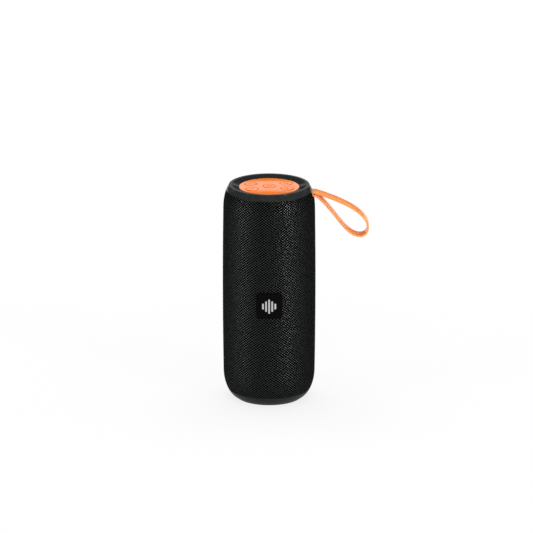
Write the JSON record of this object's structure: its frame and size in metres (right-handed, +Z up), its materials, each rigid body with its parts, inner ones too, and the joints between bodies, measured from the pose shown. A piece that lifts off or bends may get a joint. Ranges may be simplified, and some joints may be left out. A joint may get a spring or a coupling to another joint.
{
  "type": "portable speaker",
  "caption": "Barrel-shaped battery speaker in mesh fabric with an orange keypad on top, a silicone carry strap, drivers behind the front, a passive radiator below and covered ports at the back",
  "frame": {"origin": "centre of the resting face, on the floor", "axes": "+Z up along the body; the badge faces -Y, the strap hangs on the +X side and the ports face +Y"},
  "size_m": [0.1099, 0.0713, 0.1662],
  "materials": {
    "mesh_fabric": "matte",
    "dark_plastic": "matte",
    "grey_plastic": "satin",
    "orange_panel": "satin",
    "orange_silicone": "satin",
    "clear_lens": "gloss",
    "circuit_board": "satin",
    "black_component": "matte",
    "pale_component": "matte",
    "steel": "satin",
    "gloss_black": "polished",
    "silver_trim": "satin",
    "black_rubber": "matte",
    "radiator_skin": "satin",
    "basket_metal": "satin",
    "magnet_ferrite": "matte",
    "cone_paper": "matte",
    "coil_copper": "satin",
    "spider_cloth": "matte",
    "cell_sleeve": "gloss",
    "wire_skin": "satin"
  },
  "bodies": {
    "housing": {"fabric_sleeve": "mesh_fabric", "grille_tube": "dark_plastic", "top_ring": "grey_plastic", "keypad": "orange_panel", "indicator_lenses": "clear_lens", "keypad_board": "circuit_board", "tact_switches": "black_component", "status_lamps": "pale_component", "board_screws": "steel", "badge_plate": "gloss_black", "badge_bars": "silver_trim", "strap_anchor": "orange_silicone", "strap_pin": "steel", "base_ring": "grey_plastic", "foot_pads": "black_rubber", "base_screws": "steel", "radiator_frame": "dark_plastic", "radiator_gasket": "black_rubber", "radiator_surround": "black_rubber", "chassis_front": "dark_plastic", "chassis_rear": "dark_plastic", "chassis_screws": "steel", "collar_screws": "steel", "driver_baskets": "basket_metal", "driver_magnets": "magnet_ferrite", "driver_top_plates": "steel", "driver_yokes": "steel", "driver_gaskets": "black_rubber", "driver_screws": "steel", "upper_surround": "black_rubber", "upper_spider": "spider_cloth", "lower_surround": "black_rubber", "lower_spider": "spider_cloth", "main_board": "circuit_board", "board_components": "black_component", "charge_socket": "steel", "audio_jack": "black_component", "card_slot": "steel", "port_panel": "dark_plastic", "port_cover_seat": "black_rubber", "battery_cell": "cell_sleeve", "battery_leads": "wire_skin", "speaker_leads": "wire_skin", "keypad_cable": "pale_component"},
    "power_key": {"key_power": "orange_panel"},
    "play_key": {"key_play": "orange_panel"},
    "mode_key": {"key_mode": "orange_panel"},
    "minus_key": {"key_minus": "orange_panel"},
    "plus_key": {"key_plus": "orange_panel"},
    "strap": {"strap_loop": "orange_silicone"},
    "port_flap": {"port_cover": "black_rubber"},
    "upper_diaphragm": {"upper_cone": "cone_paper", "upper_dust_cap": "cone_paper", "upper_voice_coil": "coil_copper"},
    "lower_diaphragm": {"lower_cone": "cone_paper", "lower_dust_cap": "cone_paper", "lower_voice_coil": "coil_copper"},
    "radiator": {"radiator_plate": "radiator_skin", "radiator_weight": "steel"}
  },
  "joints": [
    {"name": "power_press", "type": "slide", "parent": "housing", "child": "power_key", "axis": [0, 0, -1], "range_m": [0, 0.0004], "stiffness_N_per_m": 3000, "springref_m": -0.0002},
    {"name": "play_press", "type": "slide", "parent": "housing", "child": "play_key", "axis": [0, 0, -1], "range_m": [0, 0.0004], "stiffness_N_per_m": 3000, "springref_m": -0.0002},
    {"name": "mode_press", "type": "slide", "parent": "housing", "child": "mode_key", "axis": [0, 0, -1], "range_m": [0, 0.0004], "stiffness_N_per_m": 3000, "springref_m": -0.0002},
    {"name": "minus_press", "type": "slide", "parent": "housing", "child": "minus_key", "axis": [0, 0, -1], "range_m": [0, 0.0004], "stiffness_N_per_m": 3000, "springref_m": -0.0002},
    {"name": "plus_press", "type": "slide", "parent": "housing", "child": "plus_key", "axis": [0, 0, -1], "range_m": [0, 0.0004], "stiffness_N_per_m": 3000, "springref_m": -0.0002},
    {"name": "strap_flex", "type": "hinge", "parent": "housing", "child": "strap", "pos_m": [0.03407, 0, 0.1596], "axis": [0, -1, 0], "range_deg": [-28, 65], "stiffness_Nm_per_rad": 0.012, "springref_deg": 2.86},
    {"name": "port_flap_hinge", "type": "hinge", "parent": "housing", "child": "port_flap", "pos_m": [0, 0.03343, 0.0184], "axis": [-1, 0, 0], "range_deg": [0, 95], "stiffness_Nm_per_rad": 0.002, "springref_deg": -5.73},
    {"name": "upper_cone_stroke", "type": "slide", "parent": "housing", "child": "upper_diaphragm", "axis": [0, -1, 0], "range_m": [-0.001, 0.001], "stiffness_N_per_m": 1500, "deforming": ["upper_surround", "upper_spider"]},
    {"name": "lower_cone_stroke", "type": "slide", "parent": "housing", "child": "lower_diaphragm", "axis": [0, -1, 0], "range_m": [-0.001, 0.001], "stiffness_N_per_m": 1500, "deforming": ["lower_surround", "lower_spider"]},
    {"name": "radiator_stroke", "type": "slide", "parent": "housing", "child": "radiator", "axis": [0, 0, 1], "range_m": [-0.002, 0.002], "stiffness_N_per_m": 800, "deforming": ["radiator_surround"]}
  ]
}
